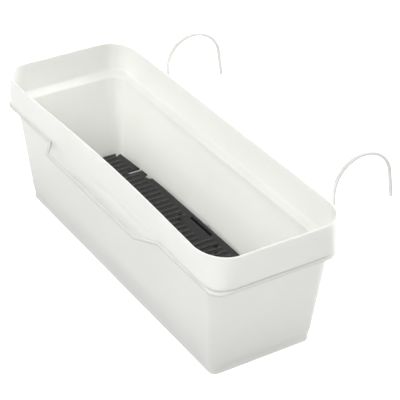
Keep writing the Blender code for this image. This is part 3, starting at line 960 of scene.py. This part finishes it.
def wire(name, points, closed=False, radii=None):
    """Round wire along a path."""
    curve = bpy.data.curves.new(name, "CURVE")
    curve.dimensions = "3D"
    curve.bevel_depth = WIRE_R
    curve.bevel_resolution = WIRE_SIDES
    curve.use_fill_caps = not closed
    spline = curve.splines.new("POLY")
    spline.points.add(len(points) - 1)
    for i, point in enumerate(points):
        spline.points[i].co = (*point, 1.0)
        spline.points[i].radius = radii[i] if radii else 1.0
    spline.use_cyclic_u = closed
    guide = bpy.data.objects.new(name, curve)
    bpy.context.scene.collection.objects.link(guide)
    mesh = evaluated(guide)
    bpy.data.objects.remove(guide, do_unlink=True)
    piece = add(name, mesh, WIRE_SKIN)
    piece.data.shade_smooth()
    return piece


def bead(name, centre, size, seed):
    """Small weld bead with a rippled skin."""
    shape = bmesh.new()
    bmesh.ops.create_icosphere(shape, subdivisions=4, radius=1.0)
    for vertex in shape.verts:
        lump = noise.noise(vertex.co * LUMP[1] + Vector((seed, 0, 0)))
        swell = 1 + RIPPLE[0] * math.sin(vertex.co.x * RIPPLE[1] + seed) + LUMP[0] * lump
        vertex.co = Vector(a * b * swell for a, b in zip(vertex.co, size))
    bmesh.ops.translate(shape, vec=centre, verts=shape.verts)
    piece = from_bmesh(name, shape, WIRE_SKIN)
    piece.data.shade_smooth()
    return piece


def ring_wire():
    """Closed ring under the collar, with a bay that stands out at the front."""
    x, y = RING_HALF
    bay = [((BAY_CENTRE_X + side, -depth), BAY_BEND_R) for side, depth in
           ((-BAY_FOOT_X, y), (-BAY_TOP_X, BAY_Y), (BAY_TOP_X, BAY_Y), (BAY_FOOT_X, y))]
    bends = list(zip(((x, y), (-x, y), (-x, -y), (x, -y)), RING_R))
    corners = bends[:3] + bay + bends[3:]
    path = []
    for i, (corner, radius) in enumerate(corners):
        before = corners[i - 1][0]
        after = corners[(i + 1) % len(corners)][0]
        steps = BEND_STEPS[0] if radius == BAY_BEND_R else BEND_STEPS[1]
        path += fillet((*before, RING_Z), (*corner, RING_Z), (*after, RING_Z), radius, steps)
    return finished(wire("ring_wire", path, closed=True), "hanger", "coated_wire", "hanger_ring")


def hook_wire(name, node, side):
    """Railing hook: a foot along the rear rail, a leg, a round crown and a splayed tip."""
    x = side * HOOK_X
    cy = HOOK_CENTRE_Y
    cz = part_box(node)[1].z - WIRE_R - HOOK_R
    tip_y, tip_z = HOOK_TIP_Y, cz - HOOK_TIP_DROP
    start = (x - side * HOOK_WELD_LENGTH, HOOK_WELD_Y, RING_Z)
    turn = (x, HOOK_WELD_Y, RING_Z)
    rise = (x, HOOK_LEG_Y, RING_Z)
    crown = (x, cy - HOOK_R, cz)
    path = [between(start, turn, t) for t, _ in FOOT_END]
    radii = [size for _, size in FOOT_END]
    path += fillet(start, turn, rise, HOOK_BEND_R, HOOK_BEND_STEPS)
    path += fillet(turn, rise, crown, HOOK_BEND_R, HOOK_BEND_STEPS)
    reach = math.hypot(tip_y - cy, tip_z - cz)
    leave = math.atan2(tip_z - cz, tip_y - cy) + math.acos(HOOK_R / reach)
    for i in range(CROWN_STEPS + 1):
        angle = math.pi + (leave - math.pi) * i / CROWN_STEPS
        path.append((x, cy + HOOK_R * math.cos(angle), cz + HOOK_R * math.sin(angle)))
    radii += [1.0] * (len(path) - len(radii))
    last = path[-1]
    tip = (x, tip_y, tip_z)
    length = math.dist(last, tip)
    for i in range(TIP_STEPS + 1):
        angle = math.pi / 2 * i / TIP_STEPS
        back = TIP_ROUND * (1 - math.sin(angle))
        path.append(between(last, tip, 1 - back / length))
        radii.append(max(TIP_THIN[0], math.cos(angle) ** TIP_THIN[1]))
    return finished(wire(name, path, radii=radii), "hanger", "coated_wire", node)


def welds():
    """Two beads above and two below each lap of a hook's foot and the rear rail."""
    seam_y = (RING_HALF[1] + HOOK_WELD_Y) / 2
    number = 0
    for side in (-1, 1):
        for back in WELD_BACK:
            for up in (-1, 1):
                number += 1
                centre = (side * (HOOK_X - back), seam_y, RING_Z + up * WELD_RISE)
                piece = bead(f"weld_bead_{number}", centre, WELD, number)
                finished(piece, "hanger", "coated_wire")


# ---------------------------------------------------------------- studio
LAMP_SIZE = 1.0
LAMP_REACH = 2.3
LAMP_AIM = Vector((0, 0, 0.08))
# Name, azimuth and elevation in degrees, watts
LAMPS = (("front", -90, 45, 8.6), ("front_high", -90, 65, 10.5), ("right", 0, 25, 13.8),
         ("front_right", -45, 40, 11.0), ("front_left", -135, 40, 10.8), ("back", 90, 20, 31.0),
         ("back_high", 90, 45, 24.0))
SKY = 0.04
GROUND_GLOW = 0.49
GLOW_BLEND = 0.12
FLOOR_GLOW = 1.0
FLOOR_REACH = 6.0
FLOOR_DROP = 0.0002
CARD_DROP = 0.0001
EYE = (1.3382, -0.7710, 1.0500)
YAW, PITCH, ROLL = math.radians(58.41), math.radians(31.90), math.radians(0.27)
LENS = 139.9


def studio():
    """Pale floor, soft lamps all round and a glow from below, which stands in for a white table's bounce."""
    shape = bmesh.new()
    bmesh.ops.create_grid(shape, x_segments=8, y_segments=8, size=FLOOR_REACH)
    bmesh.ops.translate(shape, vec=(0, 0, -FLOOR_DROP), verts=shape.verts)
    floor = from_bmesh("studio_floor", shape, floor_skin())
    floor.visible_diffuse = False
    floor.visible_shadow = False
    # The table under the box is dark, because no light gets in there
    shape = bmesh.new()
    reach = Matrix.Diagonal((2 * (BASE_HALF[0] - BASE_R), 2 * (BASE_HALF[1] - BASE_R), 1.0, 1.0))
    bmesh.ops.create_grid(shape, x_segments=4, y_segments=2, size=0.5, matrix=reach)
    bmesh.ops.translate(shape, vec=(0, 0, -CARD_DROP), verts=shape.verts)
    card = from_bmesh("studio_card", shape, Skin("studio_card", (0.01, 0.01, 0.01), 1.0).material)
    card.visible_camera = False

    world = bpy.data.worlds.new("studio")
    world.use_nodes = True
    tree = world.node_tree
    split = tree.nodes.new("ShaderNodeSeparateXYZ")
    ramp = tree.nodes.new("ShaderNodeMapRange")
    for key, number in zip(SPAN_ENDS, (-GLOW_BLEND, GLOW_BLEND, GROUND_GLOW, SKY)):
        ramp.inputs[key].default_value = number
    tree.links.new(tree.nodes.new("ShaderNodeTexCoord").outputs["Generated"], split.inputs[0])
    tree.links.new(split.outputs["Z"], ramp.inputs["Value"])
    tree.links.new(ramp.outputs["Result"], tree.nodes["Background"].inputs["Strength"])
    tree.nodes["Background"].inputs["Color"].default_value = (1.0, 1.0, 1.0, 1.0)
    bpy.context.scene.world = world
    bpy.context.scene.view_settings.view_transform = "Standard"

    for name, azimuth, elevation, power in LAMPS:
        light = bpy.data.lights.new(name, "AREA")
        light.shape = "SQUARE"
        light.size = LAMP_SIZE
        light.energy = power
        lamp = bpy.data.objects.new(name, light)
        a, e = math.radians(azimuth), math.radians(elevation)
        away = Vector((math.cos(e) * math.cos(a), math.cos(e) * math.sin(a), math.sin(e)))
        lamp.location = LAMP_AIM + away * LAMP_REACH
        lamp.rotation_euler = away.to_track_quat("Z", "Y").to_euler()
        bpy.context.scene.collection.objects.link(lamp)


def camera():
    """Long lens from the right front, looking down on the box."""
    lens = bpy.data.cameras.new("camera")
    lens.sensor_fit = "HORIZONTAL"
    lens.sensor_width = 36.0
    lens.lens = LENS
    lens.clip_start = 0.05
    lens.clip_end = 50.0
    eye = bpy.data.objects.new("camera", lens)
    turn = Matrix.Rotation(YAW, 4, "Z") @ Matrix.Rotation(math.pi / 2 - PITCH, 4, "X")
    turn = turn @ Matrix.Rotation(ROLL, 4, "Z")
    eye.matrix_world = Matrix.Translation(EYE) @ turn
    bpy.context.scene.collection.objects.link(eye)
    bpy.context.scene.camera = eye


camera()
studio()
box_shell()
plug()
plate()
for number, (leg_x, leg_y) in enumerate(((x, y) for y in LEG_Y for x in LEG_X), start=1):
    leg(number, leg_x, leg_y)
for strip, node in (("felt_wick_front", "wick_front"), ("felt_wick_rear", "wick_rear")):
    felt = wick(strip, node)
ring_wire()
hook_wire("hook_wire_left", "hook_left", -1)
hook_wire("hook_wire_right", "hook_right", 1)
welds()
